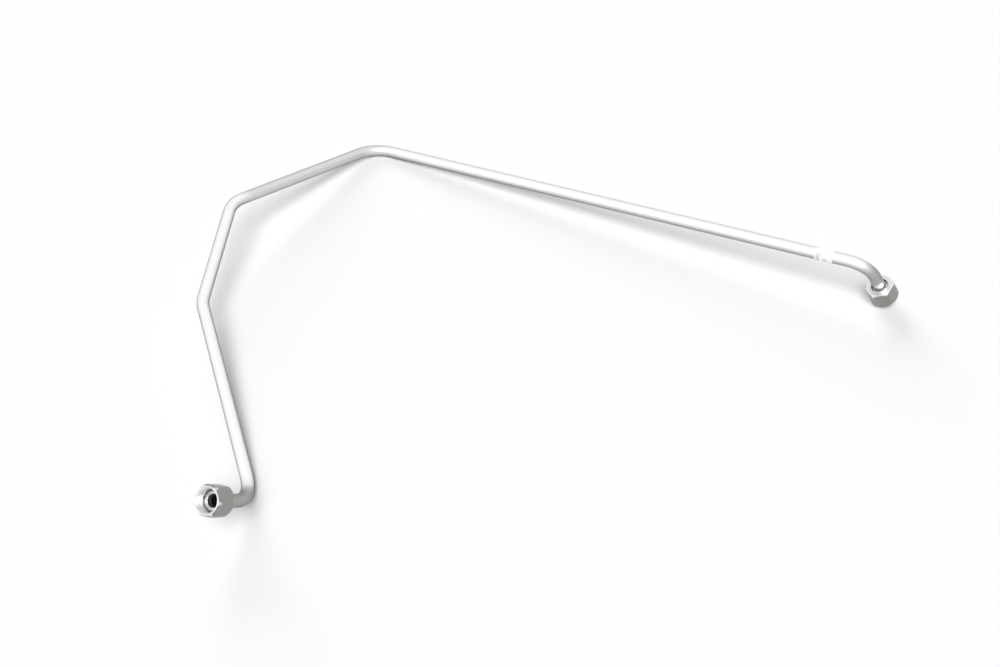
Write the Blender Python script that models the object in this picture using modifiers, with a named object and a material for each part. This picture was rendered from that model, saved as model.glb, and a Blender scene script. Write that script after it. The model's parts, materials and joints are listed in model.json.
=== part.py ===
"""Bent steel hydraulic tube with a flat-faced sleeve and a swivel nut on each end.

Metres, +Z up. The tube lies on the plane z = 0 as it comes to rest: the underside of the
left elbow, the underside of the crest bend and the rim of the right nut touch it. The
origin is at the middle of the bottom of the box that holds every piece.
"""

import math

import bmesh
import bpy
import numpy as np
from mathutils import Matrix, Vector

ASSEMBLY = "hydraulic_tube"

# Tube
TUBE_DIAMETER = 0.009525
TUBE_WALL = 0.000889
BEND_RADIUS = 0.025

# Bend points, where the centre lines of two straight legs would cross, from the left elbow's
LOWER_BEND_X = -0.0590
LOWER_BEND_Y = 0.1636
LOWER_BEND_HEIGHT = 0.026
UPPER_BEND_X = -0.0486
UPPER_BEND_Y = 0.2609
UPPER_BEND_HEIGHT = 0.040
CREST_BEND_X = 0.0572
CREST_BEND_Y = 0.3724
RIGHT_ELBOW_X = 0.4586
RIGHT_ELBOW_Y = 0.1861

# End legs, from the elbow's bend point to the seal face, in metres and degrees
LEFT_END_LEG = 0.0456
LEFT_END_HEADING = -127.2
LEFT_END_ELEVATION = 52.6
RIGHT_END_LEG = 0.0373
RIGHT_END_HEADING = 4.9
RIGHT_END_ELEVATION = -58.65

# Sleeve, brazed on the tube's end
BRAZE_GAP = 0.0003
NECK_WALL = 0.00074
NECK_CHAMFER = 0.0003
SLEEVE_LENGTH = 0.0076
COLLAR_LENGTH = 0.0043
FACE_CHAMFER = 0.0004
LIP_HEIGHT = 0.0004
LIP_DEPTH = 0.0023

# Swivel nut
THREAD_DIAMETER = 0.01746
THREAD_DEPTH = 0.00078
THREAD_LENGTH = 0.0085
NUT_WALL = 0.00159
NUT_LENGTH = 0.0173
NUT_RECESS = 0.0079
CORNER_STAND = 0.00093
RIM_INSET = 0.00087
REAR_RIM_INSET = 0.00022
CHAMFER_ANGLE = 60.0
HOLE_CHAMFER = 0.0003
LEFT_NUT_TURN = 50.0
RIGHT_NUT_TURN = 17.0

# Clearances between the nut and the sleeve that it turns on
COLLAR_CLEARANCE = 0.00045
NECK_CLEARANCE = 0.0005
SHOULDER_CLEARANCE = 0.0003

# Wrap label on the long leg
LABEL_LENGTH = 0.0141
LABEL_FROM_ELBOW = 0.0275
LABEL_WALL = 0.0002
LABEL_GAP = 0.0002

# Fineness of the mesh
BEND_STEP = math.radians(6.5)
TUBE_BEVEL_RESOLUTION = 10
BORE_BEVEL_RESOLUTION = 6
TURNED_STEPS = 48
SEATING_ROUNDS = 6
CUT_MARGIN = 0.001

# Sizes that follow from those above
TUBE_RADIUS = TUBE_DIAMETER / 2
BORE_RADIUS = TUBE_RADIUS - TUBE_WALL
SOCKET_RADIUS = TUBE_RADIUS + BRAZE_GAP
NECK_RADIUS = SOCKET_RADIUS + NECK_WALL
LIP_RADIUS = SOCKET_RADIUS - LIP_HEIGHT
THREAD_RADIUS = THREAD_DIAMETER / 2
MINOR_RADIUS = THREAD_RADIUS - THREAD_DEPTH
COLLAR_RADIUS = MINOR_RADIUS - COLLAR_CLEARANCE
HOLE_RADIUS = NECK_RADIUS + NECK_CLEARANCE
FLAT_RADIUS = THREAD_RADIUS + NUT_WALL
CORNER_RADIUS = FLAT_RADIUS / math.cos(math.pi / 6)
LAND_RADIUS = FLAT_RADIUS + CORNER_STAND
RIM_RADIUS = FLAT_RADIUS - RIM_INSET

LEFT_ELBOW, LOWER_BEND, UPPER_BEND, CREST_BEND, RIGHT_ELBOW = range(1, 6)


def unit(vector):
    return vector / np.linalg.norm(vector)


def direction(heading, elevation):
    """Unit vector at this heading from +X towards +Y and this elevation, both in degrees."""
    heading = math.radians(heading)
    elevation = math.radians(elevation)
    level = math.cos(elevation)
    return np.array([level * math.cos(heading), level * math.sin(heading), math.sin(elevation)])


def bend_arc(before, corner, after):
    """Points of the arc that rounds a corner of the centre line, both tangent points included."""
    to_before = unit(before - corner)
    to_after = unit(after - corner)
    turn = math.pi - math.acos(to_before @ to_after)
    reach = BEND_RADIUS * math.tan(turn / 2)
    centre = corner + unit(to_before + to_after) * BEND_RADIUS / math.cos(turn / 2)
    first = corner + to_before * reach - centre
    last = corner + to_after * reach - centre
    share = np.linspace(0, 1, math.ceil(turn / BEND_STEP) + 1)[:, None]
    blend = np.sin((1 - share) * turn) * first + np.sin(share * turn) * last
    return centre + blend / math.sin(turn)


def tube_points(left_axis, right_axis):
    """The left seal face, the five bend points and the right seal face, at rest on z = 0.

    The right elbow's height lets the rim of its nut touch the floor. The left elbow and the
    crest bend are lowered or lifted, in rounds, until the underside of each bend touches it.
    """
    reach = (RIGHT_END_LEG + NUT_RECESS) * -right_axis[2]
    rim_drop = RIM_RADIUS * math.sqrt(1 - right_axis[2] ** 2)
    points = np.array([
        [0, 0, 0],
        [0, 0, TUBE_RADIUS],
        [LOWER_BEND_X, LOWER_BEND_Y, LOWER_BEND_HEIGHT],
        [UPPER_BEND_X, UPPER_BEND_Y, UPPER_BEND_HEIGHT],
        [CREST_BEND_X, CREST_BEND_Y, TUBE_RADIUS],
        [RIGHT_ELBOW_X, RIGHT_ELBOW_Y, reach + rim_drop],
        [0, 0, 0],
    ])
    for _ in range(SEATING_ROUNDS):
        points[0] = points[LEFT_ELBOW] + LEFT_END_LEG * left_axis
        points[-1] = points[RIGHT_ELBOW] + RIGHT_END_LEG * right_axis
        for bend in (LEFT_ELBOW, CREST_BEND):
            arc = bend_arc(*points[bend - 1:bend + 2])
            points[bend, 2] += TUBE_RADIUS - arc[:, 2].min()
    return points


def centre_line(points, end_offset):
    """Centre line with rounded bends, whose ends lie this far outside the first and last point."""
    first = points[0] + unit(points[0] - points[1]) * end_offset
    last = points[-1] + unit(points[-1] - points[-2]) * end_offset
    arcs = [bend_arc(*points[bend - 1:bend + 2]) for bend in range(LEFT_ELBOW, RIGHT_ELBOW + 1)]
    return np.vstack([first, *arcs, last])


def end_frame(place, axis):
    """Matrix with +Z along this axis and +X as near to straight up as the axis allows."""
    up = unit(np.array([0, 0, 1]) - axis[2] * axis)
    columns = Matrix([up, np.cross(axis, up), axis]).transposed()
    return Matrix.Translation(Vector(place)) @ columns.to_4x4()


def make_collection(name):
    collection = bpy.data.collections.new(name)
    bpy.context.scene.collection.children.link(collection)
    return collection


def make_material(name, colour, roughness, metallic):
    material = bpy.data.materials.new(name)
    material.use_nodes = True
    shader = material.node_tree.nodes["Principled BSDF"]
    shader.inputs["Base Color"].default_value = (*colour, 1)
    shader.inputs["Roughness"].default_value = roughness
    shader.inputs["Metallic"].default_value = metallic
    return material


def add_object(name, data, collection, parent, matrix=None):
    """Object under the assembly's empty, with its place and turn in its own matrix."""
    thing = bpy.data.objects.new(name, data)
    collection.objects.link(thing)
    thing.parent = parent
    thing.matrix_local = matrix or Matrix.Identity(4)
    return thing


def make_cutter(thing):
    thing.hide_render = True
    thing.display_type = "WIRE"
    return thing


def add_boolean(thing, cutter, operation):
    modifier = thing.modifiers.new(cutter.name, "BOOLEAN")
    modifier.operation = operation
    modifier.solver = "EXACT"
    modifier.object = cutter


def swept_rod(name, line, radius, resolution, collection, parent):
    """Closed round rod along a line, made as a bevelled curve and turned into a mesh."""
    curve = bpy.data.curves.new(name, "CURVE")
    curve.dimensions = "3D"
    curve.bevel_depth = radius
    curve.bevel_resolution = resolution
    curve.use_fill_caps = True
    spline = curve.splines.new("POLY")
    spline.points.add(len(line) - 1)
    for point, place in zip(spline.points, line):
        point.co = (*place, 1)
    guide = add_object(name + "_guide", curve, collection, parent)
    bpy.context.view_layer.update()
    graph = bpy.context.evaluated_depsgraph_get()
    mesh = bpy.data.meshes.new_from_object(guide.evaluated_get(graph))
    mesh.name = name
    shape = bmesh.new()
    shape.from_mesh(mesh)
    bmesh.ops.remove_doubles(shape, verts=shape.verts, dist=1e-6)
    bmesh.ops.recalc_face_normals(shape, faces=shape.faces)
    shape.to_mesh(mesh)
    shape.free()
    rod = add_object(name, mesh, collection, parent, guide.matrix_local)
    bpy.data.objects.remove(guide)
    return rod


def turned_ring(name, profile, collection, parent, matrix):
    """Ring turned about local Z from a closed profile of (radius, height) points.

    The profile starts at the top and runs down the outer side, then up the bore.
    """
    mesh = bpy.data.meshes.new(name)
    corners = [(radius, 0, height) for radius, height in profile]
    edges = [(i, (i + 1) % len(corners)) for i in range(len(corners))]
    mesh.from_pydata(corners, edges, [])
    ring = add_object(name, mesh, collection, parent, matrix)
    screw = ring.modifiers.new("turn", "SCREW")
    screw.angle = 2 * math.pi
    screw.steps = TURNED_STEPS
    screw.render_steps = TURNED_STEPS
    screw.use_merge_vertices = True
    screw.merge_threshold = 1e-6
    screw.use_smooth_shade = False
    return ring


def hexagon_bar(name, low, high, collection, parent, matrix):
    """Hexagonal bar along local Z between two heights, with a corner on local +X."""
    shape = bmesh.new()
    corner_to_x = Matrix.Rotation(math.pi / 6, 4, "Z")
    middle = Matrix.Translation((0, 0, (low + high) / 2))
    bmesh.ops.create_cone(
        shape,
        cap_ends=True,
        segments=6,
        radius1=CORNER_RADIUS,
        radius2=CORNER_RADIUS,
        depth=high - low,
        matrix=middle @ corner_to_x,
    )
    mesh = bpy.data.meshes.new(name)
    shape.to_mesh(mesh)
    shape.free()
    return add_object(name, mesh, collection, parent, matrix)


def sleeve_profile():
    """Seal face at height 0, collar, neck over the tube, socket and the lip that stops the tube."""
    return [
        (COLLAR_RADIUS - FACE_CHAMFER, 0),
        (COLLAR_RADIUS, -FACE_CHAMFER),
        (COLLAR_RADIUS, -COLLAR_LENGTH),
        (NECK_RADIUS, -COLLAR_LENGTH),
        (NECK_RADIUS, NECK_CHAMFER - SLEEVE_LENGTH),
        (NECK_RADIUS - NECK_CHAMFER, -SLEEVE_LENGTH),
        (SOCKET_RADIUS, -SLEEVE_LENGTH),
        (SOCKET_RADIUS, -LIP_DEPTH),
        (LIP_RADIUS, -LIP_DEPTH),
        (LIP_RADIUS, 0),
    ]


def nut_profile():
    """Chamfer cones and corner land outside; rear hole, shoulder, relief and thread bore inside."""
    mouth = NUT_RECESS
    rear = NUT_RECESS - NUT_LENGTH
    shoulder = -COLLAR_LENGTH - SHOULDER_CLEARANCE
    thread_end = mouth - THREAD_LENGTH
    slope = math.tan(math.radians(CHAMFER_ANGLE))
    rear_rim = FLAT_RADIUS - REAR_RIM_INSET
    return [
        (RIM_RADIUS, mouth),
        (LAND_RADIUS, mouth - (LAND_RADIUS - RIM_RADIUS) * slope),
        (LAND_RADIUS, rear + (LAND_RADIUS - rear_rim) * slope),
        (rear_rim, rear),
        (HOLE_RADIUS + HOLE_CHAMFER, rear),
        (HOLE_RADIUS, rear + HOLE_CHAMFER),
        (HOLE_RADIUS, shoulder),
        (THREAD_RADIUS, shoulder),
        (THREAD_RADIUS, thread_end),
        (MINOR_RADIUS, thread_end),
        (MINOR_RADIUS, mouth - THREAD_DEPTH),
        (THREAD_RADIUS, mouth),
    ]


def add_tube(points, material, parts, cutters, parent):
    """Hollow tube whose ends stop against the lips inside the sleeves."""
    end_offset = -(LIP_DEPTH + BRAZE_GAP)
    outer_line = centre_line(points, end_offset)
    bore_line = centre_line(points, end_offset + CUT_MARGIN)
    tube = swept_rod("tube", outer_line, TUBE_RADIUS, TUBE_BEVEL_RESOLUTION, parts, parent)
    bore = swept_rod("tube_bore", bore_line, BORE_RADIUS, BORE_BEVEL_RESOLUTION, cutters, parent)
    add_boolean(tube, make_cutter(bore), "DIFFERENCE")
    tube.data.materials.append(material)
    return tube


def add_sleeve(side, frame, material, parts, parent):
    sleeve = turned_ring(side + "_sleeve", sleeve_profile(), parts, parent, frame)
    sleeve.data.materials.append(material)
    return sleeve


def add_nut(side, frame, turn, material, parts, cutters, parent):
    """Nut cut from a hexagonal bar by a turned blank, with its origin on its swivel axis."""
    matrix = frame @ Matrix.Rotation(math.radians(turn), 4, "Z")
    low = NUT_RECESS - NUT_LENGTH - CUT_MARGIN
    high = NUT_RECESS + CUT_MARGIN
    nut = hexagon_bar(side + "_nut", low, high, parts, parent, matrix)
    blank = turned_ring(side + "_nut_blank", nut_profile(), cutters, parent, matrix)
    add_boolean(nut, make_cutter(blank), "INTERSECT")
    nut.data.materials.append(material)
    return nut


def add_label(points, material, parts, parent):
    """Thin wrap label round the long leg, near the right elbow."""
    elbow = points[RIGHT_ELBOW]
    along = unit(points[CREST_BEND] - elbow)
    near = elbow + along * LABEL_FROM_ELBOW
    inner = TUBE_RADIUS + LABEL_GAP
    outer = inner + LABEL_WALL
    profile = [(outer, LABEL_LENGTH), (outer, 0), (inner, 0), (inner, LABEL_LENGTH)]
    label = turned_ring("label", profile, parts, parent, end_frame(near, along))
    label.data.materials.append(material)
    return label


def shade(thing):
    thing.data.shade_smooth()
    thing.data.set_sharp_from_angle(angle=math.radians(30))


def stand_on_origin(root, things):
    """Moves the assembly so that the middle of its box's bottom lies at the origin."""
    bpy.context.view_layer.update()
    graph = bpy.context.evaluated_depsgraph_get()
    corners = []
    for thing in things:
        seen = thing.evaluated_get(graph)
        mesh = seen.to_mesh()
        corners += [thing.matrix_world @ vertex.co for vertex in mesh.vertices]
        seen.to_mesh_clear()
    low = np.min(corners, axis=0)
    high = np.max(corners, axis=0)
    root.location = (-(low[0] + high[0]) / 2, -(low[1] + high[1]) / 2, -low[2])
    bpy.context.view_layer.update()


def main():
    for thing in list(bpy.data.objects):
        bpy.data.objects.remove(thing)
    parts = make_collection(ASSEMBLY)
    cutters = make_collection("cutters")
    root = bpy.data.objects.new(ASSEMBLY + "_root", None)
    parts.objects.link(root)

    tube_zinc = make_material("tube_zinc", (0.80, 0.81, 0.80), 0.38, 1.0)
    sleeve_steel = make_material("sleeve_steel", (0.76, 0.77, 0.76), 0.30, 1.0)
    nut_zinc = make_material("nut_zinc", (0.62, 0.64, 0.61), 0.34, 1.0)
    label_white = make_material("label_white", (0.93, 0.93, 0.92), 0.60, 0.0)

    left_axis = direction(LEFT_END_HEADING, LEFT_END_ELEVATION)
    right_axis = direction(RIGHT_END_HEADING, RIGHT_END_ELEVATION)
    points = tube_points(left_axis, right_axis)
    things = [add_tube(points, tube_zinc, parts, cutters, root)]
    for side, place, axis, turn in (
        ("left", points[0], left_axis, LEFT_NUT_TURN),
        ("right", points[-1], right_axis, RIGHT_NUT_TURN),
    ):
        frame = end_frame(place, axis)
        things.append(add_sleeve(side, frame, sleeve_steel, parts, root))
        things.append(add_nut(side, frame, turn, nut_zinc, parts, cutters, root))
    things.append(add_label(points, label_white, parts, root))
    for thing in things:
        shade(thing)
    stand_on_origin(root, things)


main()
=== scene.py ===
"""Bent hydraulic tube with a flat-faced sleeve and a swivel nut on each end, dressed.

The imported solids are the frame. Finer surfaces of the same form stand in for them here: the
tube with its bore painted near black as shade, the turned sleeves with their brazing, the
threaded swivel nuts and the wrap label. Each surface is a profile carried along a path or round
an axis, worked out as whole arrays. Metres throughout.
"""

import json
import math

import bpy
import numpy as np
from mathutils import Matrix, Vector


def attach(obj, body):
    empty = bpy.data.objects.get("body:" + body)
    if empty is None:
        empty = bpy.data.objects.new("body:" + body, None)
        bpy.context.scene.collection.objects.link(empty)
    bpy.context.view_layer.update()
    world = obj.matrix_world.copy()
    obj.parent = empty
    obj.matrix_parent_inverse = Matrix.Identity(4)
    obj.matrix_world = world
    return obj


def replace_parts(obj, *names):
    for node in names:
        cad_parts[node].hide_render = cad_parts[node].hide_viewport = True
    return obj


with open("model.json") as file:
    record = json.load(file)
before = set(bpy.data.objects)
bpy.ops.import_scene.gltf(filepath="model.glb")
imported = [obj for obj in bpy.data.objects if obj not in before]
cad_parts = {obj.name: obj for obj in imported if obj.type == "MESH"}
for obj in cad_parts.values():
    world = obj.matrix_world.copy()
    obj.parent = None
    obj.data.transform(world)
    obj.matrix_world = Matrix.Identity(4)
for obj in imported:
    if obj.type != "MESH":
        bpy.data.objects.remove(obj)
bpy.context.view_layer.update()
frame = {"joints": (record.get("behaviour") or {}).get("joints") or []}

MM = 0.001
SHARP_ANGLE = math.radians(38)

# Tube: lengths of its end legs, three bend points measured from the left seal face, its section
LEFT_END_LEG = 45.6 * MM
RIGHT_END_LEG = 37.3 * MM
LOWER_BEND = np.array([-42.255, 185.661, -12.536]) * MM
UPPER_BEND = np.array([-31.855, 282.961, 1.464]) * MM
CREST_BEND = np.array([73.945, 394.461, -35.085]) * MM
TUBE_RADIUS = 4.7625 * MM
BORE_RADIUS = 3.8735 * MM
BEND_RADIUS = 25 * MM
TUBE_SETBACK = 2.6 * MM
TUBE_COLUMNS = 72
LEG_STEP = 9 * MM
BEND_STEP = math.radians(1.5)
TUBE_EDGE = 0.25 * MM

# Painted shade on the tube's underside: the direction it faces, and the cosines to that between
# which the painted shade sets in
SHADE_SIDE = (-0.06, 0.385, -0.92)
SHADE_SIDE_RAMP = (-0.85, -0.15)

# Stretches of the tube, in millimetres from its left end or, for the last two, before its right
# end:
# the leg between two bends painted greyer as a painted dimmer reflection, greyer and rougher
# stretches near both ends, and a plain stretch by the right nut without painted shade or grey
DIM_REFLECTION_START = (316, 332)
DIM_REFLECTION_END = (484, 467)
GREY_NEAR_LEFT = (48, 35)
GREY_NEAR_RIGHT = (41, 26)
PLAIN_BY_RIGHT_NUT = (11, 16)

# Sleeve, measured from its seal face
COLLAR_RADIUS = 7.50 * MM
NECK_RADIUS = 5.8025 * MM
SOCKET_RADIUS = 5.0625 * MM
LIP_RADIUS = 4.6625 * MM
SLEEVE_END = -7.6 * MM
COLLAR_END = -4.3 * MM
LIP_DEPTH = 2.3 * MM

# Brazing fillet behind the sleeve
BRAZE_RADIUS = 5.45 * MM
BRAZE_REACH = 1.1 * MM
BRAZE_DEPTH = 0.2 * MM
BRAZE_SKIN = 0.04 * MM
BRAZE_GAP = 0.01 * MM
BRAZE_TOP_RADIUS = 5.0 * MM

# Swivel nut, measured from the same face
MOUTH = 7.9 * MM
REAR = -9.4 * MM
SHOULDER = -4.6 * MM
THREAD_END = -0.6 * MM
THREAD_RADIUS = 8.73 * MM
THREAD_DEPTH = 0.78 * MM
THREAD_PITCH = 1.5875 * MM
ROWS_PER_TURN = 20
CREST_SHARE = 0.22
FLANK_SHARE = 0.64
HOLE_RADIUS = 6.3025 * MM
FLAT_RADIUS = 10.32 * MM
LAND_RADIUS = 11.25 * MM
RIM_RADIUS = 9.45 * MM
REAR_RIM_RADIUS = 10.10 * MM
CHAMFER_SLOPE = math.tan(math.radians(60))
MOUTH_LEAD = 0.12 * MM
HOLE_CHAMFER = 0.3 * MM
NUT_TURN = {"left": 50, "right": 17}

# Painted tone of the nut, from 0 for bright zinc to 1 for the grey film, brightest at the rims. The
# patches are painted highlights where the cones meet the corners, as half widths at the rims, in
# degrees round the axis.
REAR_FACE_TONE = 0.28
REAR_CONE_TONE = 0.55
CORNER_HIGHLIGHT = 0.6
FRONT_PATCH = 12
REAR_PATCH = 9

# Wrap label on the long leg. Its end overlaps from LAP_EDGE on, in radians round the tube.
LABEL_FROM_ELBOW = 27.5 * MM
LABEL_LENGTH = 14.1 * MM
LABEL_RADIUS = 5.02 * MM
LABEL_STEPS = 8
FILM_GAP = 0.03 * MM
FILM_EDGE_IN = 0.03 * MM
FILM_EDGE_UP = 0.05 * MM
LAP_HEIGHT = 0.09 * MM
LAP_EDGE = 3.9
LAP_RISE = 0.04
LAP_SPAN = 1.1
LAP_FADE = 0.5

# Plain marks on the label's map, in millimetres: middle and half size, each along and round
BAR_MARKS = ((11.6, 24.0), (1.5, 3.4))
DOT_MARKS = ((6.0, 22.6), (1.7, 2.0))

# Camera, measured from the left seal face and the floor; tilt in degrees from straight down
EYE_OFFSET = np.array([188.745, -381.139]) * MM
EYE_HEIGHT = 664 * MM
EYE_TILT = 40
FOCAL_LENGTH = 39.6
FILM_WIDTH = 36

# Light. A lamp is its direction, its share of the light on the level floor, its width in degrees
# and whether metal mirrors it. The dim side starts where the cosine to it passes DIM_START.
SKY_SHARE = 0.21
HIGH_LAMP = ((-0.12, -0.60, 1.0), 0.62, 38, True)
BACK_LAMP = ((-0.9, 1.9, 0.9), 0.21, 40, False)
DIM_SIDE = (1.0, -0.05, -0.05)
DIM_START = 0.84
DIM_LEVEL = 0.72
FLOOR_REACH = 40
FLOOR_WHITE = 0.93
FLOOR_LIFT = 0.025


def unit(v):
    return v / np.linalg.norm(v)


SEAL_FACES = {
    joint["child"]: (np.array(joint["pos_m"]), unit(np.array(joint["axis"])))
    for joint in frame["joints"]
}


def centre_line():
    """Seal face, five bend points and seal face: where straight legs' centre lines would cross."""
    left, left_axis = SEAL_FACES["left_nut"]
    right, right_axis = SEAL_FACES["right_nut"]
    return np.array([
        left,
        left - LEFT_END_LEG * left_axis,
        left + LOWER_BEND,
        left + UPPER_BEND,
        left + CREST_BEND,
        right - RIGHT_END_LEG * right_axis,
        right,
    ])


CENTRE_LINE = centre_line()


def end_frame(place, axis, turn=0):
    """Place, then X, Y and Z directions: Z along the axis, X nearest to straight up.

    X and Y are then turned about Z by the given degrees.
    """
    x = unit(np.array([0, 0, 1]) - axis[2] * axis)
    y = np.cross(axis, x)
    c, s = math.cos(math.radians(turn)), math.sin(math.radians(turn))
    return place, c * x + s * y, c * y - s * x, axis


def turned(profile, angles, seat):
    """Rings round the seat's Z axis from a profile of (radius, height).

    profile is (row, 2), or (row, column, 2) where the rings aren't round.
    """
    place, x, y, z = seat
    profile = profile[:, None] if profile.ndim == 2 else profile
    spokes = np.cos(angles)[:, None] * x + np.sin(angles)[:, None] * y
    return place + profile[..., :1] * spokes + profile[..., 1:] * z


def rounded(corners, radii, steps=4):
    """Closed profile with its corners eased.

    corners is (corner, column, 2). Each corner becomes a quadratic curve between the points
    that a fillet of its radius would touch, kept within 45% of both neighbouring edges.
    """
    before = np.roll(corners, 1, axis=0) - corners
    after = np.roll(corners, -1, axis=0) - corners
    edge_before = np.linalg.norm(before, axis=-1, keepdims=True)
    edge_after = np.linalg.norm(after, axis=-1, keepdims=True)
    before, after = before / edge_before, after / edge_after
    opening = np.arccos(np.clip((before * after).sum(-1, keepdims=True), -1, 1))
    reach = np.array(radii)[:, None, None] / np.tan(opening / 2)
    start = corners + before * np.minimum(reach, 0.45 * edge_before)
    end = corners + after * np.minimum(reach, 0.45 * edge_after)
    share = np.linspace(0, 1, steps)[None, :, None, None]
    curve = ((1 - share) ** 2 * start[:, None] + 2 * share * (1 - share) * corners[:, None]
             + share ** 2 * end[:, None])
    return curve.reshape(-1, *corners.shape[1:])


def run_lengths(points, axis):
    """Distance covered from the first point to each point and back to the first, along one axis."""
    steps = np.linalg.norm(np.roll(points, -1, axis=axis) - points, axis=-1)
    total = np.cumsum(steps, axis=axis)
    return np.concatenate([np.zeros_like(np.take(total, [0], axis)), total], axis=axis)


def closed_skin(name, rings, finishes, finish_of_row=None, painted=None, along=None):
    """Closed mesh from rings that each close on themselves, the last ring joining the first.

    rings is (ring, column, 3). Its own map holds metres: U along the profile or tube, V round it.
    painted holds one number for each point, which a finish reads as the attribute "painted".
    """
    count, columns, _ = rings.shape
    ids = np.arange(count * columns).reshape(count, columns)
    below = np.roll(ids, -1, axis=0)
    quads = np.stack([ids, below, np.roll(below, -1, axis=1), np.roll(ids, -1, axis=1)], -1)
    quads = quads.reshape(-1, 4)
    along = run_lengths(rings, 0) if along is None else along
    along = np.concatenate([along, along[:, :1]], axis=1)
    around = run_lengths(rings, 1)
    around = np.concatenate([around, around[:1]], axis=0)
    chart = np.stack([along, around], -1)
    corners = np.stack([chart[:-1, :-1], chart[1:, :-1], chart[1:, 1:], chart[:-1, 1:]], 2)
    corners = corners.reshape(-1, 4, 2)
    points = rings.reshape(-1, 3)
    middle = points.mean(0)
    a, b, c, d = (points[quads[:, i]] - middle for i in range(4))
    volume = (a * np.cross(b, c)).sum() + (a * np.cross(c, d)).sum()
    if volume < 0:
        quads, corners = quads[:, ::-1], corners[:, ::-1]
    mesh = bpy.data.meshes.new(name)
    mesh.from_pydata(points, [], quads)
    mesh.uv_layers.new(name="metres").data.foreach_set("uv", corners.astype(np.float32).ravel())
    if painted is not None:
        layer = mesh.attributes.new("painted", "FLOAT", "POINT").data
        layer.foreach_set("value", painted.astype(np.float32).ravel())
    for finish in finishes:
        mesh.materials.append(finish)
    if finish_of_row is not None:
        rows = np.repeat(np.asarray(finish_of_row, np.int32), columns)
        mesh.polygons.foreach_set("material_index", rows)
    mesh.shade_smooth()
    mesh.set_sharp_from_angle(angle=SHARP_ANGLE)
    piece = bpy.data.objects.new(name, mesh)
    bpy.context.scene.collection.objects.link(piece)
    return piece


def turn_about(axis, angles, vectors):
    """Vectors turned about an axis by each of the angles, by Rodrigues' formula."""
    c, s = np.cos(angles)[:, None], np.sin(angles)[:, None]
    return c * vectors + s * np.cross(axis, vectors) + (1 - c) * (vectors @ axis) * axis


def tube_path():
    """Centre line of the tube: places, directions and one direction square to each.

    Straight legs run between bends of one radius. Inside a bend the place, the direction and
    the square direction all turn about the bend's axis, so the section never twists.
    """
    heading = unit(CENTRE_LINE[1] - CENTRE_LINE[0])
    side = unit(np.cross(heading, [0.3, 0.2, 1.0]))
    place = CENTRE_LINE[0] + heading * TUBE_SETBACK
    places, headings, sides = [], [], []

    def straight(end):
        nonlocal place
        length = np.linalg.norm(end - place)
        share = np.linspace(0, 1, max(2, round(length / LEG_STEP)))[:, None]
        places.append(place + share * (end - place))
        headings.append(np.repeat(heading[None], len(share), 0))
        sides.append(np.repeat(side[None], len(share), 0))
        place = end

    for corner, after in zip(CENTRE_LINE[1:-1], CENTRE_LINE[2:]):
        leaving = unit(after - corner)
        turn = math.acos(heading @ leaving)
        axis = unit(np.cross(heading, leaving))
        straight(corner - heading * BEND_RADIUS * math.tan(turn / 2))
        spoke = np.cross(heading, axis) * BEND_RADIUS
        angles = np.linspace(0, turn, math.ceil(turn / BEND_STEP) + 1)[1:-1]
        places.append(place - spoke + turn_about(axis, angles, spoke))
        headings.append(turn_about(axis, angles, heading))
        sides.append(turn_about(axis, angles, side))
        side = turn_about(axis, np.array([turn]), side)[0]
        place = corner + leaving * BEND_RADIUS * math.tan(turn / 2)
        heading = leaving
    straight(CENTRE_LINE[-1] - heading * TUBE_SETBACK)
    return tuple(np.concatenate(part) for part in (places, headings, sides))


def make_tube(dark):
    """Tube: a circle carried along the centre line outside, eased ends, the bore back inside.

    The last row, from the left end to the first outer ring, has the finish of the sawn end.
    """
    places, headings, sides = tube_path()
    ups = np.cross(headings, sides)
    angles = np.linspace(0, 2 * np.pi, TUBE_COLUMNS, endpoint=False)
    spokes = (np.cos(angles)[None, :, None] * sides[:, None]
              + np.sin(angles)[None, :, None] * ups[:, None])
    outer = places[:, None] + TUBE_RADIUS * spokes
    inner = places[:, None] + BORE_RADIUS * spokes

    def rim(row, radius, out):
        return (places[row] + headings[row] * out)[None, None] + radius * spokes[row][None]

    rings = np.concatenate([
        outer[1:-1],
        rim(-1, TUBE_RADIUS, -TUBE_EDGE),
        rim(-1, TUBE_RADIUS - TUBE_EDGE, 0),
        rim(-1, BORE_RADIUS + TUBE_EDGE, 0),
        rim(-1, BORE_RADIUS, -TUBE_EDGE),
        inner[1:-1][::-1],
        rim(0, BORE_RADIUS, TUBE_EDGE),
        rim(0, BORE_RADIUS + TUBE_EDGE, 0),
        rim(0, TUBE_RADIUS - TUBE_EDGE, 0),
        rim(0, TUBE_RADIUS, TUBE_EDGE),
    ])
    zinc, bore, sawn = range(3)
    outside = len(outer) - 2
    rows = np.full(len(rings), zinc)
    rows[outside:] = sawn
    rows[outside + 3:-4] = bore
    travelled = np.cumsum(np.linalg.norm(np.diff(places, axis=0), axis=1))
    along = run_lengths(rings, 0)
    along[outside:] += travelled[outside - 1] - along[outside - 1]
    along[:outside] = travelled[:outside, None]
    # Painted shade: how far each outer point faces the shaded side
    facing = np.zeros(rings.shape[:2], np.float32)
    facing[:outside] = spokes[1:-1] @ unit(np.array(SHADE_SIDE))
    # The bore and the sawn end are painted near black as shade
    finishes = [plated_tube(travelled[-1] / MM), dark, shaded_cut_end()]
    return closed_skin("bent_tube", rings, finishes, rows, facing, along)


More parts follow.
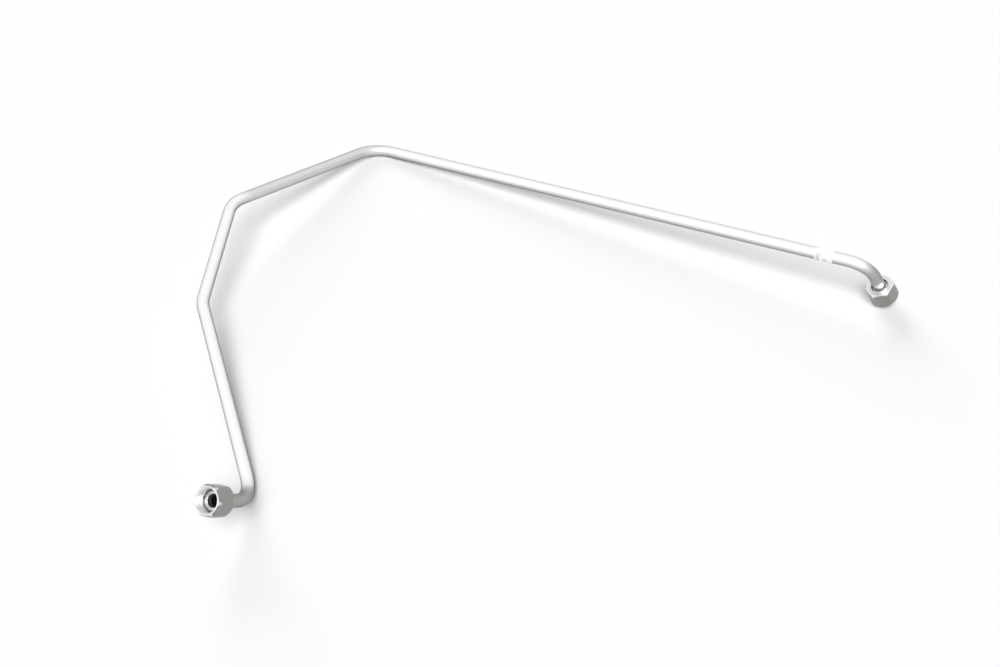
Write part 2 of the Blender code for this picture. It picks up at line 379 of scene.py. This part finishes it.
def make_sleeve(side, seat, steel, dark):
    """Sleeve: seal face, collar, neck, and the socket over the tube with its lip, turned."""
    corners = np.array([
        (COLLAR_RADIUS - 0.4 * MM, 0),
        (COLLAR_RADIUS, -0.4 * MM),
        (COLLAR_RADIUS, COLLAR_END),
        (NECK_RADIUS, COLLAR_END),
        (NECK_RADIUS, SLEEVE_END),
        (SOCKET_RADIUS, SLEEVE_END),
        (SOCKET_RADIUS, -LIP_DEPTH),
        (LIP_RADIUS, -LIP_DEPTH),
        (LIP_RADIUS, 0),
    ])[:, None]
    radii = np.array([0.12, 0.12, 0.12, 0.15, 0.35, 0.05, 0.02, 0.03, 0.10]) * MM
    steps = 5
    profile = rounded(corners, radii, steps)[:, 0]
    angles = np.linspace(0, 2 * np.pi, 120, endpoint=False)
    socket_mouth, lip = 5 * steps, 7 * steps
    rows = np.zeros(len(profile), int)
    # Painted shade: the socket's inside, where the tube end sits, takes the bore's near-black
    # finish
    rows[socket_mouth:lip + 3] = 1
    return closed_skin(side + "_sleeve_skin", turned(profile, angles, seat), [steel, dark], rows)


def make_braze(side, seat, brazing):
    """Brazing metal: a hollow fillet that runs from the sleeve's end down to the tube."""
    share = np.linspace(0, 1, 9)
    skirt = TUBE_RADIUS + (BRAZE_RADIUS - TUBE_RADIUS) * (1 - np.sqrt(1 - (1 - share) ** 2))
    drop = SLEEVE_END - BRAZE_REACH * (1 - np.sqrt(1 - share ** 2))
    outer = np.stack([skirt + BRAZE_SKIN, drop], -1)
    root = TUBE_RADIUS + BRAZE_GAP
    inner = np.array([
        (root, SLEEVE_END - BRAZE_REACH),
        (root, SLEEVE_END + BRAZE_DEPTH),
        (BRAZE_TOP_RADIUS, SLEEVE_END + BRAZE_DEPTH),
    ])
    profile = np.concatenate([outer, inner])
    angles = np.linspace(0, 2 * np.pi, 96, endpoint=False)
    return closed_skin(side + "_braze", turned(profile, angles, seat), [brazing])


def hexagon_radius(angles):
    """Distance from the axis to the hexagon's outline: flats, and a turned land at each corner."""
    off = (angles + np.pi / 6) % (np.pi / 3) - np.pi / 6
    return np.minimum(FLAT_RADIUS / np.cos(np.pi / 6 - np.abs(off)), LAND_RADIUS)


def thread_rows(angles):
    """Thread ridges inside the mouth, as (row, column, 2) of radius and height, and their tone:
    painted shade, darker towards the roots.

    The height climbs in even rows. The radius follows the distance to the helix's crest: a
    flat crest, a 60 degree flank and a narrow root. Chamfers at both ends cut the ridges off.
    """
    height = np.arange(THREAD_END, MOUTH + 1e-9, THREAD_PITCH / ROWS_PER_TURN)[:, None]
    height = np.append(height[:-1], [[MOUTH]], axis=0)
    phase = height / THREAD_PITCH - angles[None] / (2 * np.pi)
    rise = np.clip((np.abs(phase % 1 - 0.5) * 2 - CREST_SHARE) / FLANK_SHARE, 0, 1)
    radius = THREAD_RADIUS - THREAD_DEPTH * (1 - rise)
    lead_in = THREAD_RADIUS + MOUTH_LEAD - (MOUTH - height)
    run_out = THREAD_RADIUS - (height - THREAD_END)
    tone = 0.15 + 0.85 * rise * (lead_in < radius)
    radius = np.maximum(np.maximum(radius, lead_in), run_out)
    return np.stack([radius, np.broadcast_to(height, radius.shape)], -1), tone


def between(first, second, shares):
    """Rings at the given shares of the way from one ring to another."""
    return first + np.array(shares)[:, None, None] * (second - first)


def highlight_patch(inside):
    """1 where a place is inside a painted highlight patch at a corner, 0 outside, and a soft edge 2
    degrees wide.
    """
    return np.clip(inside / 2 + 0.5, 0, 1)


def make_nut(side, seat, turned_zinc, drawn_zinc):
    """Swivel nut: hexagon with both ends chamfered, rear hole, shoulder, relief and real thread.

    Every column has the same list of corners. The cones start at the round rims and rise with
    one slope until they meet the hexagon. bands holds rings, their painted tone and finish.
    """
    land = 30 - math.degrees(math.acos(FLAT_RADIUS / LAND_RADIUS))
    side_steps = np.array([0, 1.5, 3, 4.5, land - 0.9, land - 0.35, land, land + 0.35, land + 0.9,
                           9, 11, 14, 18, 22, 26])
    sector = np.radians(np.concatenate([-side_steps[:0:-1], side_steps, [30]]))
    angles = (np.arange(6)[:, None] * np.pi / 3 + sector).ravel()
    hexagon = hexagon_radius(angles)
    same = np.ones_like(angles)
    outline = [
        ((THREAD_RADIUS + MOUTH_LEAD) * same, MOUTH * same, 0.05),
        (RIM_RADIUS * same, MOUTH * same, 0.16),
        (hexagon, MOUTH - (hexagon - RIM_RADIUS) * CHAMFER_SLOPE, 0.30),
        (hexagon, REAR + (hexagon - REAR_RIM_RADIUS) * CHAMFER_SLOPE, 0.30),
        (REAR_RIM_RADIUS * same, REAR * same, 0.30),
        ((HOLE_RADIUS + HOLE_CHAMFER) * same, REAR * same, 0.05),
        (HOLE_RADIUS * same, (REAR + HOLE_CHAMFER) * same, 0.05),
        (HOLE_RADIUS * same, SHOULDER * same, 0.05),
        (THREAD_RADIUS * same, SHOULDER * same, 0.15),
        (THREAD_RADIUS * same, (THREAD_END - 0.05 * MM) * same, 0.02),
    ]
    corners = np.stack([np.stack([r, z], -1) for r, z, _ in outline])
    radii = np.array([ease for _, _, ease in outline]) * MM
    profile = rounded(corners, radii, 4)[4:]
    cone = np.linspace(0, 1, 7)[1:-1]
    cone_share = cone[:, None]
    off = np.degrees(np.abs((angles + np.pi / 6) % (np.pi / 3) - np.pi / 6))
    # Painted highlights: bright patches on both cones where they meet the corners
    front_highlight = CORNER_HIGHLIGHT * highlight_patch(FRONT_PATCH * (1 - cone_share) - off)
    rear_highlight = REAR_CONE_TONE * highlight_patch(REAR_PATCH * cone_share - off)
    thread, thread_root_shade = thread_rows(angles)
    bands = [
        (profile[:4], 0, 0),
        (between(profile[3], profile[4], cone), 1 - front_highlight, 1),
        (profile[4:8], 1, 1),
        (between(profile[7], profile[8], (0.03, 0.97)), 1, 1),
        (profile[8:12], 1, 1),
        (between(profile[11], profile[12], cone), REAR_CONE_TONE - rear_highlight, 1),
        (profile[12:16], 0, 0),
        (between(profile[15], profile[16], (0.06,)), 0, 0),
        (between(profile[15], profile[16], (0.25, 0.94)), REAR_FACE_TONE, 0),
        (profile[16:20], REAR_FACE_TONE, 0),
        # Painted shade: the rear hole's bore, in the gap round the sleeve, takes the grey film
        (profile[20:28], 1, 0),
        (profile[28:], 0.25, 0),
        # Painted shade: the thread is greyer towards its roots
        (thread, thread_root_shade, 0),
    ]
    profile = np.concatenate([rings for rings, _, _ in bands])
    tone = np.concatenate([np.broadcast_to(tone, rings.shape[:2]) for rings, tone, _ in bands])
    rows = np.concatenate([np.full(len(rings), finish) for rings, _, finish in bands])
    finishes = [turned_zinc, drawn_zinc]
    return closed_skin(side + "_swivel_nut", turned(profile, angles, seat), finishes, rows, tone)


def make_label(film):
    """Wrap label: a thin ring of film whose outer skin steps up once where its end overlaps."""
    elbow = CENTRE_LINE[5]
    along = unit(CENTRE_LINE[4] - elbow)
    seat = end_frame(elbow + along * LABEL_FROM_ELBOW, along)
    angles = np.linspace(0, 2 * np.pi, 180, endpoint=False)
    past_edge = (angles - LAP_EDGE) % (2 * np.pi)
    lap = np.clip(past_edge / LAP_RISE, 0, 1) * np.clip((LAP_SPAN - past_edge) / LAP_FADE, 0, 1)
    skin = LABEL_RADIUS + LAP_HEIGHT * lap
    inner = np.full_like(angles, TUBE_RADIUS + FILM_GAP)
    foot = [(inner, 0), (skin - FILM_EDGE_IN, 0), (skin, FILM_EDGE_UP)]
    walls = [(skin, LABEL_LENGTH * k / LABEL_STEPS) for k in range(1, LABEL_STEPS)]
    head = [(radius, LABEL_LENGTH - height) for radius, height in foot[::-1]]
    profile = np.stack([
        np.stack([radius, np.full_like(radius, height)], -1)
        for radius, height in foot + walls + head
    ])
    return closed_skin("wrap_label", turned(profile, angles, seat), [film])


class Value:
    """What leaves one socket of a node tree. Python's operators add the Math nodes."""

    def __init__(self, graph, socket):
        self.graph, self.socket = graph, socket

    def _math(self, operation, *terms):
        return self.graph.node("ShaderNodeMath", {"operation": operation}, dict(enumerate(terms)))

    def __add__(self, other):
        return self._math("ADD", self, other)

    def __sub__(self, other):
        return self._math("SUBTRACT", self, other)

    def __mul__(self, other):
        return self._math("MULTIPLY", self, other)

    def __lt__(self, other):
        return self._math("LESS_THAN", self, other)

    __radd__, __rmul__ = __add__, __mul__

    def fraction(self):
        return self._math("FRACT", self)

    def size(self):
        return self._math("ABSOLUTE", self)

    def larger(self, other):
        return self._math("MAXIMUM", self, other)


class Graph:
    """A node tree under way, of a material or of the world."""

    def __init__(self, tree):
        self.tree = tree

    def set(self, node, socket, value):
        socket = node.inputs[socket]
        if isinstance(value, Value):
            self.tree.links.new(value.socket, socket)
        elif isinstance(value, (tuple, list)) and socket.type == "RGBA":
            socket.default_value = (*value, 1)
        else:
            socket.default_value = value

    def node(self, kind, settings=None, sockets=None, output=0):
        """Any node: its type, its settings, the values or links of its sockets, the output used."""
        node = self.tree.nodes.new(kind)
        for key, value in (settings or {}).items():
            setattr(node, key, value)
        for socket, value in (sockets or {}).items():
            self.set(node, socket, value)
        return Value(self, node.outputs[output])


class Finish(Graph):
    """A material under way: its shader, the sockets set on it and the nodes that feed it."""

    def __init__(self, name, **constants):
        self.material = bpy.data.materials.new(name)
        self.material.use_nodes = True
        super().__init__(self.material.node_tree)
        self.shader = self.tree.nodes["Principled BSDF"]
        for socket, value in constants.items():
            self.set(self.shader, socket.replace("_", " ").title().replace("Ior", "IOR"), value)

    def map_millimetres(self):
        """U and V of the piece's own map, in millimetres."""
        chart = self.node("ShaderNodeUVMap", {"uv_map": "metres"})
        u = self.node("ShaderNodeSeparateXYZ", None, {0: chart}, "X")
        v = self.node("ShaderNodeSeparateXYZ", None, {0: chart}, "Y")
        return u * 1000, v * 1000

    def painted(self):
        """The number that the piece's builder left on each point."""
        return self.node("ShaderNodeAttribute", {"attribute_name": "painted"}, None, "Fac")

    def spot(self):
        """Place on the object in millimetres, as a vector."""
        place = self.node("ShaderNodeTexCoord", None, None, "Object")
        return self.node("ShaderNodeVectorMath", {"operation": "SCALE"}, {0: place, 3: 1000})

    def noise(self, vector, scale, detail=3, roughness=0.55):
        return self.node("ShaderNodeTexNoise", None, {
            "Vector": vector, "Scale": scale, "Detail": detail, "Roughness": roughness})

    def vector(self, x, y, z=0):
        return self.node("ShaderNodeCombineXYZ", None, {0: x, 1: y, 2: z})

    def ramp(self, value, start, end):
        """Smooth 0 to 1 as the value goes from start to end, which may be the lower number."""
        return self.node("ShaderNodeMapRange", {"interpolation_type": "SMOOTHSTEP"}, {
            0: value, 1: start, 2: end, 3: 0, 4: 1})

    def blend(self, factor, first, second):
        """Colour that goes from the first to the second with the factor."""
        return self.node("ShaderNodeMix", {"data_type": "RGBA"}, {
            0: factor, 6: first, 7: second}, 2)

    def bump(self, height, distance):
        return self.node("ShaderNodeBump", None, {"Height": height, "Distance": distance})

    def done(self, **feeds):
        for socket, value in feeds.items():
            self.set(self.shader, socket.replace("_", " ").title(), value)
        return self.material


def plated_tube(length):
    """Satin zinc on drawn tube, greyer and rougher near both ends.

    The underside carries painted shade and the leg between two bends a painted dimmer
    reflection; neither the painted shade nor the grey reaches the right nut. length is the
    tube's, in millimetres. The painted number says how far a point faces down.
    """
    f = Finish("satin_zinc_tube", metallic=1.0, specular_tint=(0.1, 0.1, 0.1))
    along, around = f.map_millimetres()
    cloud = f.noise(f.spot(), 0.16, 4)
    streak = f.noise(f.vector(along * 0.05, around * 2.2), 1.0, 3)
    grain = f.noise(f.spot(), 3.2, 2)
    tone = cloud * 0.7 + streak * 0.3
    bright = f.blend(tone, (0.88, 0.89, 0.88), (0.95, 0.955, 0.95))
    # Painted shade: the underside is darker, except by the right nut
    underside_shade = f.ramp(f.painted(), *SHADE_SIDE_RAMP)
    # Painted reflection: the leg between two bends is greyer, as if it mirrored dimmer surroundings
    dim_reflection = f.ramp(along, *DIM_REFLECTION_START) * f.ramp(along, *DIM_REFLECTION_END)
    bright = f.blend(dim_reflection, bright, f.blend(tone, (0.66, 0.675, 0.66), (0.76, 0.77, 0.76)))
    underside_shade_tone = f.blend(dim_reflection, (0.46, 0.467, 0.46), (0.55, 0.56, 0.55))
    away_from_right_nut = f.ramp(along, *(length - end for end in PLAIN_BY_RIGHT_NUT))
    bright = f.blend(underside_shade * away_from_right_nut, bright, underside_shade_tone)
    # Greyer and rougher near both ends, with a cloudy edge
    drift = along + cloud * 8 - 4
    grey_ends = f.ramp(drift, *GREY_NEAR_LEFT) + f.ramp(drift, *(length - end for end in GREY_NEAR_RIGHT))
    grey_ends = grey_ends * away_from_right_nut
    return f.done(
        base_color=f.blend(grey_ends, bright, f.blend(tone, (0.36, 0.37, 0.355), (0.50, 0.51, 0.49))),
        roughness=0.26 + 0.12 * cloud + 0.06 * streak + 0.2 * grey_ends,
        normal=f.bump(streak * 0.6 + grain * 0.4, 0.00002),
    )


def plated_nut(name, low, high, drawn):
    """Zinc on the nut: turned rings on the lathed faces, straight draw lines on the flats.

    The painted tone goes from bright zinc at the rims to the greyer film elsewhere. It also holds
    painted highlights at the cone corners and painted shade in the rear hole and towards the thread
    roots.
    """
    f = Finish(name, metallic=1.0)
    along, around = f.map_millimetres()
    cloud = f.noise(f.spot(), 0.35, 4)
    stretch = f.vector(along * 0.1, around * 6) if drawn else f.vector(along * 9, around * 0.12)
    lines = f.noise(stretch, 1.0, 2)
    grain = f.noise(f.spot(), 5.0, 2)
    tone = cloud * 0.6 + lines * 0.4
    bright = f.blend(tone, (0.84, 0.85, 0.84), (0.95, 0.955, 0.95))
    return f.done(
        base_color=f.blend(f.painted(), bright, f.blend(tone, low, high)),
        roughness=0.26 + 0.14 * cloud + 0.05 * lines,
        normal=f.bump(lines * 0.7 + grain * 0.3, 0.00002),
    )


def turned_sleeve():
    """Fine turned steel: close rings on the seal face and bright plating."""
    f = Finish("turned_sleeve_steel", metallic=1.0)
    along, around = f.map_millimetres()
    rings = f.noise(f.vector(along * 14, around * 0.08), 1.0, 2)
    cloud = f.noise(f.spot(), 0.5, 3)
    return f.done(
        base_color=f.blend(cloud, (0.76, 0.77, 0.76), (0.88, 0.885, 0.88)),
        roughness=0.22 + 0.14 * rings,
        normal=f.bump(rings, 0.000015),
    )


def shaded_cut_end():
    """Sawn end of the tube inside the sleeve, painted near black as shade."""
    f = Finish("sawn_tube_end", metallic=1.0)
    grain = f.noise(f.spot(), 3.0, 2)
    return f.done(
        base_color=f.blend(grain, (0.04, 0.04, 0.038), (0.08, 0.08, 0.076)),
        roughness=0.38 + 0.1 * grain,
    )


def painted_shade_bore():
    """Bare inside of the tube, painted near black as shade."""
    f = Finish("painted_shade_bore", metallic=0.0, specular_ior_level=0.2)
    cloud = f.noise(f.spot(), 0.6, 3)
    return f.done(
        base_color=f.blend(cloud, (0.006, 0.006, 0.006), (0.016, 0.015, 0.014)),
        roughness=0.7 + 0.2 * cloud,
    )


def braze_metal():
    """Brazing fillet under the plating, a little rippled."""
    f = Finish("brazing_metal", metallic=1.0)
    ripple = f.noise(f.spot(), 1.4, 3)
    return f.done(
        base_color=f.blend(ripple, (0.78, 0.78, 0.765), (0.90, 0.90, 0.89)),
        roughness=0.30 + 0.2 * ripple,
        normal=f.bump(ripple, 0.00008),
    )


def label_film():
    """White film with plain grey bars and dots where the print would be."""
    f = Finish("label_film", specular_ior_level=0.35)
    along, around = f.map_millimetres()
    paper = f.noise(f.spot(), 2.0, 2)

    def within(middle, half):
        return ((along - middle[0]).size() < half[0]) * ((around - middle[1]).size() < half[1])

    bars = within(*BAR_MARKS) * ((along * 1.05).fraction() < 0.42)
    bars = bars * ((around * 0.5).fraction() < 0.8)
    dots = within(*DOT_MARKS) * ((along * 1.2).fraction() < 0.5)
    dots = dots * ((around * 1.2).fraction() < 0.5)
    white = f.blend(paper, (0.97, 0.97, 0.965), (0.94, 0.94, 0.935))
    return f.done(
        base_color=f.blend((bars + dots) * 0.9, white, (0.16, 0.16, 0.17)),
        roughness=0.55 + 0.1 * paper,
        normal=f.bump(paper, 0.00001),
    )


def seen_rays(graph):
    """1 for camera, glossy and transmission rays, else 0."""
    camera, glossy, through = (
        graph.node("ShaderNodeLightPath", None, None, "Is %s Ray" % kind)
        for kind in ("Camera", "Glossy", "Transmission")
    )
    return camera.larger(glossy).larger(through)


def floor_finish():
    """Pale floor that keeps the tube's shadow, lifted to white where it is seen or mirrored."""
    f = Finish("studio_floor", specular_ior_level=0.0, roughness=1.0, emission_strength=1.0,
               base_color=(FLOOR_WHITE,) * 3)
    return f.done(emission_color=f.blend(seen_rays(f), (0, 0, 0), (FLOOR_LIFT,) * 3))


def studio_floor():
    """Level square under the tube."""
    r = FLOOR_REACH
    mesh = bpy.data.meshes.new("floor")
    mesh.from_pydata([(-r, -r, 0), (r, -r, 0), (r, r, 0), (-r, r, 0)], [], [(0, 1, 2, 3)])
    mesh.materials.append(floor_finish())
    floor = bpy.data.objects.new("floor", mesh)
    bpy.context.scene.collection.objects.link(floor)


def studio_sky():
    """Dim even sky for the light, white where seen or mirrored. Its dim side is mirrored only."""
    world = bpy.data.worlds.new("studio")
    bpy.context.scene.world = world
    world.use_nodes = True
    g = Graph(world.node_tree)
    place = g.node("ShaderNodeTexCoord", None, None, "Generated")
    toward_dim_side = g.node("ShaderNodeVectorMath", {"operation": "DOT_PRODUCT"}, {
        0: place, 1: Vector(DIM_SIDE).normalized()}, "Value")
    level = g.node("ShaderNodeMapRange", None, {
        0: toward_dim_side, 1: DIM_START, 2: 1, 3: 1, 4: DIM_LEVEL})
    level = level.larger(g.node("ShaderNodeLightPath", None, None, "Is Camera Ray"))
    sky = g.node("ShaderNodeBackground", None, {"Color": (SKY_SHARE,) * 3})
    backdrop = g.node("ShaderNodeBackground", None, {"Color": level})
    both = g.node("ShaderNodeMixShader", None, {0: seen_rays(g), 1: sky, 2: backdrop})
    g.set(g.tree.nodes["World Output"], "Surface", both)


def add_lamp(name, toward, share, spread, mirrored):
    """Sun lamp of a wide disc, which metal may mirror. Its share is what the level floor gets."""
    toward = Vector(toward).normalized()
    lamp = bpy.data.lights.new(name, "SUN")
    lamp.energy = share * math.pi / toward.z
    lamp.angle = math.radians(spread)
    holder = bpy.data.objects.new(name, lamp)
    holder.visible_glossy = mirrored
    holder.rotation_mode = "QUATERNION"
    holder.rotation_quaternion = toward.to_track_quat("Z", "Y")
    bpy.context.scene.collection.objects.link(holder)


def camera():
    """The photograph's view, looking along +Y and down."""
    lens = bpy.data.cameras.new("camera")
    lens.lens = FOCAL_LENGTH
    lens.sensor_width = FILM_WIDTH
    lens.clip_start = 0.01
    eye = bpy.data.objects.new("camera", lens)
    eye.location = (*(CENTRE_LINE[0][:2] + EYE_OFFSET), EYE_HEIGHT)
    eye.rotation_euler = (math.radians(EYE_TILT), 0, 0)
    bpy.context.scene.collection.objects.link(eye)
    bpy.context.scene.camera = eye


def dress():
    """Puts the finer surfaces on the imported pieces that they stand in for."""
    dark, steel, brazing = painted_shade_bore(), turned_sleeve(), braze_metal()
    turned_zinc = plated_nut("zinc_nut_turned", (0.20, 0.205, 0.20), (0.30, 0.305, 0.295), False)
    drawn_zinc = plated_nut("zinc_nut_flats", (0.22, 0.23, 0.215), (0.35, 0.36, 0.34), True)

    tube = make_tube(dark)
    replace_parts(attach(tube, "tube_line"), "tube")
    for side in ("left", "right"):
        place, axis = SEAL_FACES[side + "_nut"]
        seat = end_frame(place, axis)
        sleeve = make_sleeve(side, seat, steel, dark)
        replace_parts(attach(sleeve, "tube_line"), side + "_sleeve")
        braze = make_braze(side, seat, brazing)
        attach(braze, "tube_line")
        nut = make_nut(side, end_frame(place, axis, NUT_TURN[side]), turned_zinc, drawn_zinc)
        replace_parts(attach(nut, side + "_nut"), side + "_nut")
    label = make_label(label_film())
    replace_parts(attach(label, "tube_line"), "label")


dress()
studio_floor()
studio_sky()
add_lamp("high_soft_lamp", *HIGH_LAMP)
add_lamp("back_soft_lamp", *BACK_LAMP)
camera()
bpy.context.scene.view_settings.view_transform = "Standard"
